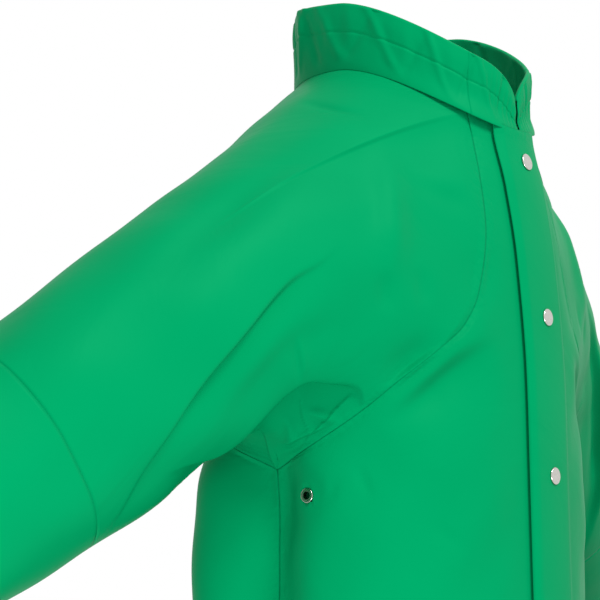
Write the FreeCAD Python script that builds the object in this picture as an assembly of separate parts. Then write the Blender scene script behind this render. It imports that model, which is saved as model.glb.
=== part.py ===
"""Waterproof protective gown of coated fabric: stand-up collar, raglan sleeves, vented underarms.

Frame, in millimetres: +Z is up and the wearer faces -Y, so the wearer's right is at -X.
The origin is the top of the hang loop inside the back of the neck. The gown is shown as worn,
hollow, with both sleeves held out and a little back, as the cut holds them.
"""
import FreeCAD
import Part
import os
from math import asin, cos, degrees, exp, pi, radians, sin

Vector = FreeCAD.Vector
os.makedirs("parts", exist_ok=True)

# ---- driving dimensions -------------------------------------------------------------------
SHELL = 1.5                  # each layer of fabric, drawn thicker than the real 0.5
GAP = 1.0                    # between the collar and the body
NEST = 0.6                   # between one layer of fabric and the next
TRIM = 0.6                   # degrees each panel stops short of a seam
NECK_HALF_WIDTH = 88.0
NECK_FRONT = 112.0           # neck axis to the centre front of the neckline
NECK_BACK = 88.0
NECK_FRONT_DROP = 50.0
NECK_BACK_DROP = 10.0
COLLAR_BACK = 62.0
COLLAR_SIDE = 54.0
COLLAR_FRONT = 46.0
CASING_DEPTH = 22.0          # stitched hem along the collar's rim
ARMPIT_Z = -332.0            # below the side neck point
HEM_Z = -1119.0
HEM_DEPTH = 25.0
SHOULDER = (-165.0, 0.0, -169.0)
ARM_FROM_VERTICAL = 56.0     # how far the sleeve is held out
ARM_BACKWARD = 22.0
WAY_FROM_SEAM = 0.45         # share of the panel's own direction in the sleeve beside a seam
SHOULDER_SLOPE = 0.6
HEAD_END = 100.0             # along the sleeve from the shoulder pivot
ELBOW = 330.0
ELBOW_HALF = 48.0
CUFF = 664.0
SLEEVE_HIGH = [(0, 98.0), (100, 97.0), (330, 86.0), (664, 68.0)]
SLEEVE_DEEP = [(0, 78.0), (100, 76.0), (330, 68.0), (664, 58.0)]
OVERLAP = 30.0               # left front past the centre line
UNDERLAP = 18.0              # right front past the centre line, underneath
LIFT = 6.0                   # left front over the right
LIFT_START = 22.0            # from the centre line, where the left front has risen in full
LIFT_END = 38.0              # and where it lies on the body again
FACING_WIDTH = 50.0
SNAP_COUNT = 7
SNAP_TOP_Z = -78.0
SNAP_PITCH = 128.0
EYELET_HOLE = 6.5
EYELET_FLANGE = 11.5
POCKET_Z = -640.0
POCKET_WIDTH = 150.0
POCKET_DEPTH = 190.0
LOOP_HEIGHT = 26.0           # top of the hang loop above the back neck seam
LOOP_HALF = 35.0
LOOP_BAND = 6.0
LOOP_STRAP = 1.2
LOOP_FORWARD = 15.0          # from the back neck seam to the middle of the loop
ORIGIN = Vector(0, NECK_BACK - LOOP_FORWARD, LOOP_HEIGHT - NECK_BACK_DROP)

FACING = 0.8
TAPE = 0.4
SNAP_CAP = 7.0
SNAP_BARREL = 2.0
EYELET_Z = -353.5
EYELET_ANGLE = 81.0          # from the centre front, just before the side seam
POCKET_OUT = 165.0           # outer edge of the pocket from the centre line
COLLAR_LEAN = 0.02
COLLAR_ROUND = 24.0          # the collar's front corner is rounded within this angle
COLLAR_END = 1.0

# half width, front depth and back depth of the body at each height below the side neck point
WIDTH = [(0, 88), (-45, 90), (-100, 126), (-160, 160), (-260, 172), (-340, 172), (HEM_Z, 215)]
FRONT = [(-38, 112), (-50, 112.5), (-100, 122), (-160, 131), (-260, 139), (-340, 141), (HEM_Z, 160)]
BACK = [(0, 86), (-10, 88), (-60, 108), (-120, 128), (-220, 145), (-340, 152), (HEM_Z, 172)]
FRONT_NECK_ANGLE = 31.5
BACK_NECK_ANGLE = 150.0
SIDE_ANGLE = 94.0
NECK_CURVE = 1.6
FRONT_NECK_Z = -NECK_FRONT_DROP * cos(radians(FRONT_NECK_ANGLE)) ** NECK_CURVE
BACK_NECK_Z = -NECK_BACK_DROP * cos(radians(BACK_NECK_ANGLE)) ** 2
LOW_HEIGHTS = [-350, -375, -410, -455, -510, -575, -650, -730, -815, -905, -1005, HEM_Z]
FRONT_HEIGHTS = [-64, -82, -104, -130, -158, -190, -218, -240, -264, -288, -312, ARMPIT_Z] + LOW_HEIGHTS
BACK_HEIGHTS = [-28, -55, -85, -120, -155, -195, -235, -262, -288, -312, ARMPIT_Z] + LOW_HEIGHTS
# raglan seams: angle from centre front at each height
FRONT_SEAM = [(FRONT_NECK_Z, FRONT_NECK_ANGLE), (-95, 24.5), (-140, 22), (-190, 25.5), (-218, 31),
              (-240, 40), (-264, 51.5), (-290, 64), (-314, 79), (ARMPIT_Z, SIDE_ANGLE)]
BACK_SEAM = [(BACK_NECK_Z, BACK_NECK_ANGLE), (-80, 152), (-160, 150), (-235, 140), (-290, 122),
             (ARMPIT_Z, SIDE_ANGLE)]


# ---- small mathematics --------------------------------------------------------------------
def lerp(a, b, t):
    return a + (b - a) * t


def steps(a, b, count):
    return [lerp(a, b, i / (count - 1)) for i in range(count)]


def slope(table, j):
    """Slope of the table at entry j that never overshoots."""
    def chord(i):
        return (table[i + 1][1] - table[i][1]) / (table[i + 1][0] - table[i][0])
    if j == 0:
        return chord(0)
    if j == len(table) - 1:
        return chord(j - 1)
    a, b = chord(j - 1), chord(j)
    return 0.0 if a * b <= 0 else 2 * a * b / (a + b)


def profile(table, x):
    """Smooth value at x of a table of (x, value), in either order of x."""
    if (table[-1][0] - table[0][0]) * (x - table[0][0]) <= 0:
        return table[0][1]
    for i in range(len(table) - 1):
        (x0, v0), (x1, v1) = table[i], table[i + 1]
        if min(x0, x1) <= x <= max(x0, x1):
            h, t = x1 - x0, (x - x0) / (x1 - x0)
            m0, m1 = slope(table, i) * h, slope(table, i + 1) * h
            return ((2 * t ** 3 - 3 * t * t + 1) * v0 + (t ** 3 - 2 * t * t + t) * m0
                    + (3 * t * t - 2 * t ** 3) * v1 + (t ** 3 - t * t) * m1)
    return table[-1][1]


def bump(x, middle, half):
    return exp(-((x - middle) / half) ** 2)


def mirror(shape):
    return shape.mirror(Vector(0, 0, 0), Vector(1, 0, 0))


# ---- the gown's surfaces, right half ------------------------------------------------------
def torso(angle, z):
    """Point of the body at an angle from centre front; below the armpit the cloth folds in at
    the side seam and stands out behind it."""
    a = radians(angle)
    depth = profile(FRONT if angle < 90 else BACK, z)
    low = 1 / (1 + exp((z - ARMPIT_Z - 14) / 14.0))
    fade = lerp(1, 0.3, min(1, max(0, (ARMPIT_Z - z) / (ARMPIT_Z - HEM_Z))))
    full = 1 + low * (0.16 * fade * bump(angle, 116, 13) - 0.075 * bump(angle, 93, 9))
    return Vector(-profile(WIDTH, z) * sin(a) * full, -depth * cos(a) * full, z)


def neck(angle):
    """Point of the neckline."""
    c = cos(radians(angle))
    if angle <= FRONT_NECK_ANGLE:
        return torso(angle, -NECK_FRONT_DROP * c ** NECK_CURVE)
    if angle >= BACK_NECK_ANGLE:
        return torso(angle, -NECK_BACK_DROP * c * c)
    depth = NECK_FRONT if angle < 90 else NECK_BACK
    z = -NECK_FRONT_DROP * c ** NECK_CURVE if angle < 90 else -NECK_BACK_DROP * c * c
    return Vector(-NECK_HALF_WIDTH * sin(radians(angle)), -depth * c, z)


def arm_axes():
    """Along the sleeve, up across it, and backward across it."""
    f, p = radians(ARM_FROM_VERTICAL), radians(ARM_BACKWARD)
    along = Vector(-sin(f) * cos(p), sin(f) * sin(p), -cos(f))
    up = Vector(-cos(f) * cos(p), cos(f) * sin(p), sin(f))
    return along, up, Vector(sin(p), cos(p), 0)


def sleeve_point(w, s, inset=0.0):
    """Point of the sleeve tube: w runs round it from the underarm by the front."""
    along, up, back = arm_axes()
    high, deep = profile(SLEEVE_HIGH, s) - inset, profile(SLEEVE_DEEP, s) - inset
    return (Vector(*SHOULDER) + along * s - up * (high * cos(2 * pi * w))
            - back * (deep * sin(2 * pi * w)))


NECK_START, NECK_STOP = 0.38, 0.62      # where the neckline lies on the sleeve's top edge


def raglan(w):
    """Top edge of the sleeve: front seam, neckline, back seam; and the way the cloth leaves it."""
    if w <= NECK_START:
        t = w / NECK_START
        z = lerp(ARMPIT_Z, FRONT_NECK_Z, t ** 1.25)
        a = profile(FRONT_SEAM, z)
        point, way = torso(a, z), torso(a + 1, z) - torso(a - 1, z)
    elif w >= NECK_STOP:
        t = (1 - w) / (1 - NECK_STOP)
        z = lerp(ARMPIT_Z, BACK_NECK_Z, t ** 1.25)
        a = profile(BACK_SEAM, z)
        point, way = torso(a, z), torso(a - 1, z) - torso(a + 1, z)
    else:
        t = (w - NECK_START) / (NECK_STOP - NECK_START)
        a = lerp(FRONT_NECK_ANGLE, BACK_NECK_ANGLE, t)
        turn = radians(lerp(120, 62, t))
        point, way = neck(a), Vector(-sin(turn), -cos(turn), -SHOULDER_SLOPE * sin(pi * t))
    way.normalize()
    chord = sleeve_point(w, HEAD_END) - point
    chord.normalize()
    way = way * WAY_FROM_SEAM + chord * (1 - WAY_FROM_SEAM)
    way.normalize()
    return point, way


def head_point(w, v):
    """Point of the sleeve head, v from the raglan seams (0) to the sleeve tube (1)."""
    start, way = raglan(w)
    end = sleeve_point(w, HEAD_END)
    reach = (end - start).Length * 0.9
    along = arm_axes()[0]
    a, b = 2 * v ** 3 - 3 * v * v + 1, v ** 3 - 2 * v * v + v
    c, d = 3 * v * v - 2 * v ** 3, v ** 3 - v * v
    return start * a + way * (reach * b) + end * c + along * (reach * d)


def around(function, angle, *rest):
    """A point of the right half's function for an angle up to 360, past centre back or front."""
    if 0 <= angle <= 180:
        return function(angle, *rest)
    p = function(360 - angle if angle > 180 else -angle, *rest)
    return Vector(-p.x, p.y, p.z)


def collar_height(angle):
    if angle > 90:
        return lerp(COLLAR_SIDE, COLLAR_BACK, (angle - 90) / 90)
    return lerp(COLLAR_FRONT, COLLAR_SIDE, angle / 90)


def collar_point(angle, v):
    """Point of the collar, v from the neckline (0) to the rim (1); the front end is rounded."""
    base = neck(angle)
    lean = 1 + COLLAR_LEAN * v * bump(angle, 60, 60)
    end = max(0.0, 1 - angle / COLLAR_ROUND)
    height = collar_height(angle) * (0.35 + 0.65 * (1 - end * end) ** 0.5)
    return Vector(base.x * lean, base.y * lean, base.z + GAP + height * v)


def raised(p):
    """A point of the body moved out to where the left front passes over the right one."""
    t = min(1, max(0, (abs(p.x) - LIFT_START) / (LIFT_END - LIFT_START)))
    return p - Vector(0, LIFT * (1 - t * t * (3 - 2 * t)), 0)


def lifted(angle, z):
    """Outer surface of the left front, drawn on the right half."""
    return raised(torso(angle, z))


# ---- solids from grids of points ----------------------------------------------------------
def normals(grid):
    """Unit normals of a grid of points."""
    rows, cols = len(grid), len(grid[0])
    out = []
    for i in range(rows):
        line = []
        for j in range(cols):
            du = grid[min(i + 1, rows - 1)][j] - grid[max(i - 1, 0)][j]
            dv = grid[i][min(j + 1, cols - 1)] - grid[i][max(j - 1, 0)]
            n = du.cross(dv)
            n.normalize()
            line.append(n)
        out.append(line)
    return out


def offset(grid, distance):
    return [[p + n * distance for p, n in zip(ps, ns)] for ps, ns in zip(grid, normals(grid))]


def surface(grid):
    face = Part.BSplineSurface()
    face.interpolate(grid)
    return face.toShape()


def sheet(grid, start, stop):
    """Closed solid between two depths below one grid of points."""
    a, b = surface(offset(grid, -start)), surface(offset(grid, -stop))
    walls = [Part.makeRuledSurface(e, f) for e, f in zip(a.Edges, b.Edges)]
    shell = Part.makeCompound([a, b] + walls)
    shell.sewShape()
    solid = Part.makeSolid(shell.Shells[0])
    if solid.Volume < 0:
        solid.reverse()
    return solid


def rows_of(heights, first, last, function, columns):
    """Grid of a body surface between two angles that depend on the height."""
    return [[around(function, a, z) for a in steps(first(z), last(z), columns)] for z in heights]


def save(name, shapes):
    shape = Part.makeCompound(shapes) if len(shapes) > 1 else shapes[0]
    shape = shape.translated(ORIGIN.negative())
    good = all(s.isValid() and s.Volume > 0 for s in shape.Solids)
    print(name, len(shape.Solids), "ok" if good else "BAD", round(shape.Volume / 1000, 2), "cm3")
    shape.exportStep("parts/%s.step" % name)


def both(name, shape):
    save(name + "_right", [shape])
    save(name + "_left", [mirror(shape)])


# ---- body -----------------------------------------------------------------------------------
def front_edge_angle(z, past):
    """Angle of a front edge that lies past the centre line, negative beyond it."""
    return -degrees(asin(past / profile(WIDTH, z)))


def front_columns(z, seam, past):
    """Angles across a front panel, from its seam to its front edge."""
    outer = [lerp(seam - TRIM, front_edge_angle(z, -LIFT_END), t ** 1.4) for t in steps(0, 1, 15)]
    rising = [front_edge_angle(z, -x) for x in steps(LIFT_END, LIFT_START, 5)[1:-1]]
    near = rising + [front_edge_angle(z, -x) for x in steps(LIFT_START, -past, 9)]
    return outer + near


def front_grid(past, function):
    """Front panel from the raglan and side seams to its front edge; the top row is the neckline."""
    top = [around(neck, a) for a in front_columns(-NECK_FRONT_DROP, FRONT_NECK_ANGLE, past)]
    if function is lifted:
        top = [raised(p) for p in top]
    return [top] + [[around(function, a, z) for a in front_columns(z, profile(FRONT_SEAM, z), past)]
                    for z in FRONT_HEIGHTS]


def back_columns(first):
    """Angles across the back, closer together at the sides, where the fabric folds."""
    return [lerp(360 - first, first, t - 0.095 * sin(2 * pi * t)) for t in steps(0, 1, 45)]


def back_grid():
    top = [around(neck, a) for a in back_columns(BACK_NECK_ANGLE + TRIM)]
    return [top] + [[around(torso, a, z) for a in back_columns(profile(BACK_SEAM, z) + TRIM)]
                    for z in BACK_HEIGHTS]


def disc(point, normal, radius, start, stop, hole=0.0):
    """Round plate or tube along an outward normal, between two heights from the point."""
    body = Part.makeCylinder(radius, stop - start, point + normal * start, normal)
    if hole:
        body = body.cut(Part.makeCylinder(hole, stop - start + 2, point + normal * (start - 1), normal))
    return body


def torso_normal(angle, z, function=torso):
    du = function(angle + 1, z) - function(angle - 1, z)
    dv = function(angle, z - 5) - function(angle, z + 5)
    n = dv.cross(du)
    n.normalize()
    return n if n.dot(Vector(function(angle, z).x, function(angle, z).y, 0)) > 0 else n.negative()


def eyelet_place():
    """Centre and outward normal of the vent under the right arm."""
    return torso(EYELET_ANGLE, EYELET_Z), torso_normal(EYELET_ANGLE, EYELET_Z)


def snap_heights():
    return [SNAP_TOP_Z - SNAP_PITCH * i for i in range(SNAP_COUNT)]


def body_panels():
    right = sheet(front_grid(UNDERLAP, torso), 0, SHELL)
    left = mirror(sheet(front_grid(OVERLAP, lifted), 0, SHELL))
    back = sheet(back_grid(), 0, SHELL)
    hole = disc(*eyelet_place(), EYELET_HOLE / 2 + 0.8, -6, 6)
    right, left = right.cut(hole), left.cut(mirror(hole))
    for z in snap_heights():
        base, n = torso(0, z), torso_normal(0.0, z)
        right = right.cut(disc(base, n, SNAP_BARREL + 0.3, -4, 2))
        left = left.cut(disc(base, n, SNAP_BARREL + 0.3, 2, 9))
    save("front_panel_right", [right])
    save("front_panel_left", [left])
    save("back_panel", [back])


def front_facings():
    """Strips folded inside both front edges; the snaps are set through them."""
    heights = FRONT_HEIGHTS[:-1] + [HEM_Z + 2]

    def strip(past, function):
        return rows_of(heights, lambda z: front_edge_angle(z, past - FACING_WIDTH),
                       lambda z: front_edge_angle(z, past - 1), function, 9)
    depth = SHELL + NEST
    right = sheet(strip(UNDERLAP, torso), depth, depth + FACING)
    left = mirror(sheet(strip(OVERLAP, lifted), depth, depth + FACING))
    for z in snap_heights():
        base, n = torso(0, z), torso_normal(0.0, z)
        right = right.cut(disc(base, n, SNAP_BARREL + 0.3, -6, 1))
        left = left.cut(disc(base, n, SNAP_BARREL + 0.3, 1, 9))
    save("front_facing_right", [right])
    save("front_facing_left", [left])


def hem_bands():
    heights = steps(HEM_Z + HEM_DEPTH, HEM_Z + 1, 3)
    depth = SHELL + NEST + 0.3
    back = [[around(torso, a, z) for a in back_columns(SIDE_ANGLE + 1.5)] for z in heights]
    save("hem_band_back", [sheet(back, depth, depth + FACING)])
    front = rows_of(heights, lambda z: SIDE_ANGLE - 4,
                    lambda z: front_edge_angle(z, -LIFT_END) + 1, torso, 15)
    both("hem_band_front", sheet(front, depth, depth + FACING))


def seam_tapes():
    depth = SHELL + NEST + 0.4
    front = rows_of(steps(FRONT_NECK_Z - 25, ARMPIT_Z + 20, 27), lambda z: profile(FRONT_SEAM, z) - 1.5,
                    lambda z: profile(FRONT_SEAM, z) - 6, torso, 4)
    back = rows_of(steps(-30, ARMPIT_Z + 20, 27), lambda z: profile(BACK_SEAM, z) + 6,
                   lambda z: profile(BACK_SEAM, z) + 1.5, torso, 4)
    tapes = [sheet(g, depth, depth + TAPE) for g in (front, back)]
    save("raglan_seam_tapes", tapes + [mirror(t) for t in tapes])
    side = rows_of([ARMPIT_Z - 6] + LOW_HEIGHTS[:-1] + [HEM_Z + HEM_DEPTH + 5],
                   lambda z: SIDE_ANGLE + 3.5, lambda z: SIDE_ANGLE - 3.5, torso, 7)
    side = sheet(side, depth + 0.6, depth + 0.6 + TAPE)
    save("side_seam_tapes", [side, mirror(side)])


def eyelets():
    point, n = eyelet_place()
    flange = disc(point, n, EYELET_FLANGE / 2, 0.1, 1.0)
    flange = flange.makeFillet(0.4, [e for e in flange.Edges if e.BoundBox.DiagonalLength > 1
                                     and (e.CenterOfMass - point).dot(n) > 0.9])
    ring = flange.fuse(disc(point, n, EYELET_HOLE / 2 + 0.5, -3.2, 0.5))
    ring = ring.cut(disc(point, n, EYELET_HOLE / 2, -5, 3))
    washer = disc(point, n, EYELET_FLANGE / 2, -3.0, -2.4, EYELET_HOLE / 2 + 0.55)
    save("underarm_eyelets", [ring, mirror(ring)])
    save("eyelet_washers", [washer, mirror(washer)])


def snaps():
    caps, sockets, studs, posts = [], [], [], []
    inner = LIFT - SHELL - NEST - FACING
    for z in snap_heights():
        p, n = torso(0, z), torso_normal(0.0, z)
        cap = disc(p, n, SNAP_CAP, LIFT + 0.1, LIFT + 1.5)
        cap = cap.makeFillet(0.9, [e for e in cap.Edges if (e.CenterOfMass - p).dot(n) > LIFT + 1.4])
        caps.append(cap.fuse(disc(p, n, SNAP_BARREL, inner + 0.1, LIFT + 0.5)))
        sockets.append(disc(p, n, 5.5, inner - 2.0, inner - 0.4, 2.5))
        studs.append(disc(p, n, 5.0, 0.1, 0.8).fuse(disc(p, n, 2.1, 0.5, inner - 0.7)))
        post = disc(p, n, 5.0, -3.9, -3.2)
        posts.append(post.fuse(disc(p, n, SNAP_BARREL, -3.5, 0.0)))
    save("snap_caps", caps)
    save("snap_sockets", sockets)
    save("snap_studs", studs)
    save("snap_posts", posts)


def pockets():
    """Slanted welt on each front, and the flat bag behind it."""
    def angle(x, z):
        return degrees(asin(min(0.99, x / profile(WIDTH, z))))
    top, low = POCKET_Z, POCKET_Z - POCKET_DEPTH
    bag = rows_of(steps(top + 15, low - 30, 7), lambda z: angle(POCKET_OUT, z),
                  lambda z: angle(POCKET_OUT - POCKET_WIDTH + 35, z), torso, 9)
    both("pocket_bag", sheet(bag, SHELL + NEST, SHELL + NEST + 1.6))
    welt = []
    for z in steps(top, low, 6):
        x = lerp(POCKET_OUT - 55, POCKET_OUT - 22, (top - z) / POCKET_DEPTH)
        welt.append([torso(angle(x + dx, z), z) for dx in (26, 17, 8, 0)])
    both("pocket_welt", sheet(welt, -1.6, -0.3))


# ---- collar ---------------------------------------------------------------------------------
def collar():
    seam = 1 - CASING_DEPTH / COLLAR_SIDE

    def band(low, high, start, stop, first=COLLAR_END):
        grid = [[around(collar_point, a, v) for a in steps(360 - first, first, 49)]
                for v in steps(high, low, 5)]
        return sheet(grid, start, stop)
    save("collar_outer", [band(0.0, 1.0, 0, 1.0)])
    save("collar_casing", [band(seam, 0.995, 1.2, 2.2)])
    save("collar_facing", [band(0.0, seam - 0.02, 1.4, 2.4)])
    save("neck_tape", [band(0.02, 0.2, 3.0, 3.5, 95)])


def hang_loop():
    def half_ring(a, b):
        points = [Vector(a * cos(t), 0, b * sin(t)) for t in steps(0, pi, 13)]
        curve = Part.BSplineCurve()
        curve.interpolate(points)
        return curve.toShape()
    outer = half_ring(LOOP_HALF, LOOP_HEIGHT + LOOP_STRAP)
    inner = half_ring(LOOP_HALF - LOOP_STRAP, LOOP_HEIGHT)
    ends = [Part.makeLine(Vector(s * LOOP_HALF, 0, 0), Vector(s * (LOOP_HALF - LOOP_STRAP), 0, 0))
            for s in (1, -1)]
    face = Part.Face(Part.Wire([outer, ends[1], inner, ends[0]]))
    strap = face.extrude(Vector(0, LOOP_BAND, 0))
    place = ORIGIN - Vector(0, LOOP_BAND / 2, LOOP_HEIGHT)
    save("hang_loop", [strap.translated(place)])


# ---- sleeves --------------------------------------------------------------------------------
def sleeves():
    ws = steps(0.997, 0.003, 33)
    head = [[head_point(w, v) for w in ws] for v in steps(0.024, 0.99, 9)]
    both("sleeve_head", sheet(head, 0, SHELL))

    def tube(start, stop, depth, thick, rows=5):
        return sheet([[sleeve_point(w, s) for w in ws] for s in steps(start, stop, rows)],
                     depth, depth + thick)
    bend = ELBOW - ELBOW_HALF, ELBOW + ELBOW_HALF
    both("sleeve_upper", tube(HEAD_END + GAP, bend[0], 0, SHELL))
    both("sleeve_elbow", tube(bend[0] + GAP, bend[1] - GAP, 0, SHELL))
    both("sleeve_forearm", tube(bend[1], CUFF, 0, SHELL))
    both("cuff_hem", tube(CUFF - HEM_DEPTH, CUFF - 1, SHELL + 0.3, FACING, 3))


body_panels()
front_facings()
hem_bands()
seam_tapes()
eyelets()
snaps()
pockets()
collar()
hang_loop()
sleeves()
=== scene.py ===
from math import cos, pi, radians, sin

import bpy
import numpy as np
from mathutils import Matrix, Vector


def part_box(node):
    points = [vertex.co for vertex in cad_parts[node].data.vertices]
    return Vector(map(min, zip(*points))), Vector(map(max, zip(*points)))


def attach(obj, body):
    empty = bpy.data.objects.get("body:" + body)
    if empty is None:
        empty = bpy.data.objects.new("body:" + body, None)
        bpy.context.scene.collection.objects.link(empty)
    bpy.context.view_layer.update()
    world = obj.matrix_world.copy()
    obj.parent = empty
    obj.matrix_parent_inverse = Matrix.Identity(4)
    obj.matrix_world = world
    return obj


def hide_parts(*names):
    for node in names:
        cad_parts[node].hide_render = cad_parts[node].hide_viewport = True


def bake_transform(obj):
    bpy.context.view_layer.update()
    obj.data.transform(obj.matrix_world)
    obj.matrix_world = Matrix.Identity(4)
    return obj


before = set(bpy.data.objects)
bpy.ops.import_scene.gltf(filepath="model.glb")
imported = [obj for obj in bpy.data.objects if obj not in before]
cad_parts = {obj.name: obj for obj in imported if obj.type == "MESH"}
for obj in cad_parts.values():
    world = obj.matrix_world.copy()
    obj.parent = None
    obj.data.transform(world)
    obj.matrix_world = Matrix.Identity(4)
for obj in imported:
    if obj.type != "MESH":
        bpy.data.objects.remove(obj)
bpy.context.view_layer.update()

MM = 0.001

# ---- the gown's cut, in millimetres from the neck's axis at the side neck point ---------------
FROM_LOOP = np.array((0.0, -73.0, -16.0))    # the neck's axis seen from the hang loop, the origin
NECK_HALF_WIDTH, NECK_FRONT, NECK_BACK = 88.0, 112.0, 88.0
NECK_FRONT_DROP, NECK_BACK_DROP, NECK_CURVE = 50.0, 10.0, 1.6
FRONT_NECK_ANGLE, BACK_NECK_ANGLE, SIDE_ANGLE = 31.5, 150.0, 94.0
COLLAR_BACK, COLLAR_SIDE, COLLAR_FRONT = 62.0, 54.0, 46.0
CASING = 22.0                                 # stitched hem along the collar's rim
ARMPIT_Z = -332.0
HEM_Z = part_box("back_panel")[0][2] / MM - FROM_LOOP[2]
HEM_DEPTH = 25.0
CLOTH = 0.7                                   # thickness drawn for one layer
FACING_IN, HEM_IN, BAG_IN, TAPE_IN = 1.3, 1.4, 2.4, 1.6    # depth of each inner layer under the face
WELT_OUT = 1.3                                # how far the pocket's welt stands on the face
SEAM_TUCK, TUCK_WIDTH, SEAM_GRIP = 0.2, 1.4, 8.0    # a sewn edge's dip, its width, and where folds die out
SHOULDER = np.array((-165.0, 0.0, -169.0))
ARM_FROM_VERTICAL, ARM_BACKWARD = radians(56), radians(22)
HEAD_END, UPPER_END, ELBOW_END, CUFF = 100.0, 282.0, 378.0, 664.0
WAY_FROM_SEAM, SHOULDER_SLOPE = 0.45, 0.6     # how the cloth leaves the raglan seams and the neck
NECK_START, NECK_STOP = 0.38, 0.62            # where the neckline lies on the sleeve's top edge
SLEEVE_HIGH = [(0, 98.0), (100, 97.0), (330, 86.0), (664, 68.0)]
SLEEVE_DEEP = [(0, 78.0), (100, 76.0), (330, 68.0), (664, 58.0)]
OVERLAP, UNDERLAP, LIFT, FACING_WIDTH = 30.0, 18.0, 6.0, 50.0
LIFT_START, LIFT_END = 22.0, 38.0             # where the left front has risen in full, and where not
LOOP_HALF, LOOP_HEIGHT, LOOP_TAPE_HALF = 35.0, 26.0, 3.0
POCKET_Z, POCKET_DEPTH, POCKET_OUT, POCKET_IN = -640.0, 190.0, 165.0, 50.0
BAG_TOP, BAG_FOOT = 15.0, 30.0                # the bag starts and ends this far below the welt's ends
WELT_WIDTH, WELT_TOP, WELT_FOOT = 26.0, 110.0, 143.0    # its inner edge slants outward from top to foot
TAPE_GAP, TAPE_FAR, TAPE_HALF = 1.0, 6.0, 3.5    # degrees round the body that the seam tapes cover
WIDTH = [(0, 88), (-45, 90), (-100, 126), (-160, 160), (-260, 172), (-340, 172), (-1119, 215)]
FRONT = [(-38, 112), (-50, 112.5), (-100, 122), (-160, 131), (-260, 139), (-340, 141), (-1119, 160)]
BACK = [(0, 86), (-10, 88), (-60, 108), (-120, 128), (-220, 145), (-340, 152), (-1119, 172)]
FRONT_NECK_Z = -NECK_FRONT_DROP * cos(radians(FRONT_NECK_ANGLE)) ** NECK_CURVE
BACK_NECK_Z = -NECK_BACK_DROP * cos(radians(BACK_NECK_ANGLE)) ** 2
FRONT_SEAM = [(FRONT_NECK_Z, FRONT_NECK_ANGLE), (-95, 24.5), (-140, 22), (-190, 25.5), (-218, 31),
              (-240, 40), (-264, 51.5), (-290, 64), (-314, 79), (ARMPIT_Z, SIDE_ANGLE)]
BACK_SEAM = [(BACK_NECK_Z, BACK_NECK_ANGLE), (-80, 152), (-160, 150), (-235, 140), (-290, 122),
             (ARMPIT_Z, SIDE_ANGLE)]


# ---- small mathematics, on arrays ---------------------------------------------------------------
def slopes(xs, vs):
    """Slopes at the entries of a table that never overshoot."""
    chord = np.diff(vs) / np.diff(xs)
    product = chord[:-1] * chord[1:]
    total = chord[:-1] + chord[1:]
    inner = np.where(product > 0, 2 * product / np.where(total == 0, 1, total), 0)
    return np.concatenate([chord[:1], inner, chord[-1:]])


def profile(table, x):
    """Smooth value at each x of a table of (x, value)."""
    xs, vs = np.array(table, float).T
    if xs[0] > xs[-1]:
        xs, vs = xs[::-1], vs[::-1]
    m = slopes(xs, vs)
    x = np.clip(np.asarray(x, float), xs[0], xs[-1])
    i = np.clip(np.searchsorted(xs, x) - 1, 0, len(xs) - 2)
    h = xs[i + 1] - xs[i]
    t = (x - xs[i]) / h
    rise = 3 * t ** 2 - 2 * t ** 3
    return ((1 - rise) * vs[i] + (t ** 3 - 2 * t ** 2 + t) * h * m[i]
            + rise * vs[i + 1] + (t ** 3 - t ** 2) * h * m[i + 1])


def bump(x, middle, half):
    return np.exp(-((x - middle) / half) ** 2)


def smooth(x, low, high):
    """0 below low, 1 above high, smooth between."""
    t = np.clip((x - low) / (high - low), 0, 1)
    return t * t * (3 - 2 * t)


def lerp(a, b, t):
    return a + (b - a) * t


def unit(v):
    return v / np.maximum(np.linalg.norm(v, axis=-1, keepdims=True), 1e-9)


def points(x, y, z):
    return np.stack(np.broadcast_arrays(x, y, z), -1).astype(float)


# ---- the gown's surfaces, right half -------------------------------------------------------------
def torso(angle, z):
    """Body surface at angles from centre front; those below 0 or above 180 cross to the left half.
    Below the armpit the cloth blouses out behind the side seam and is drawn in at it."""
    side = np.where((angle < 0) | (angle > 180), -1.0, 1.0)
    angle = np.where(angle < 0, -angle, np.where(angle > 180, 360 - angle, angle))
    a = np.radians(angle)
    depth = np.where(angle < 90, profile(FRONT, z), profile(BACK, z))
    low = 1 / (1 + np.exp(np.clip((z - ARMPIT_Z - 14) / 14.0, -60, 60)))
    fade = lerp(1, 0.3, np.clip((ARMPIT_Z - z) / (ARMPIT_Z - HEM_Z), 0, 1))
    blouse, drawn_in = 0.16 * fade * bump(angle, 116, 13), 0.075 * bump(angle, 93, 9)
    full = 1 + low * (blouse - drawn_in)
    return points(-side * profile(WIDTH, z) * np.sin(a) * full, -depth * np.cos(a) * full, z)


def neckline_z(angle):
    c = np.cos(np.radians(angle))
    front = -NECK_FRONT_DROP * np.maximum(c, 0) ** NECK_CURVE
    return np.where(np.abs(angle) < 90, front, -NECK_BACK_DROP * c ** 2)


def neck(angle):
    """Neckline at angles from a little past centre front to past centre back."""
    angle = np.asarray(angle, float)
    z = neckline_z(angle)
    fold = np.where(angle > 180, 360 - angle, np.abs(angle))
    side = np.where((angle < 0) | (angle > 180), -1.0, 1.0)
    a = np.radians(fold)
    depth = np.where(fold < 90, NECK_FRONT, NECK_BACK)
    ring = points(-side * NECK_HALF_WIDTH * np.sin(a), -depth * np.cos(a), z)
    on_body = (fold <= FRONT_NECK_ANGLE) | (fold >= BACK_NECK_ANGLE)
    return np.where(on_body[..., None], torso(angle, z), ring)


def arm_axes():
    """Along the right sleeve, up across it, and backward across it."""
    f, p = ARM_FROM_VERTICAL, ARM_BACKWARD
    along = np.array((-sin(f) * cos(p), sin(f) * sin(p), -cos(f)))
    return along, np.array((-cos(f) * cos(p), cos(f) * sin(p), sin(f))), np.array((sin(p), cos(p), 0))


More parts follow.
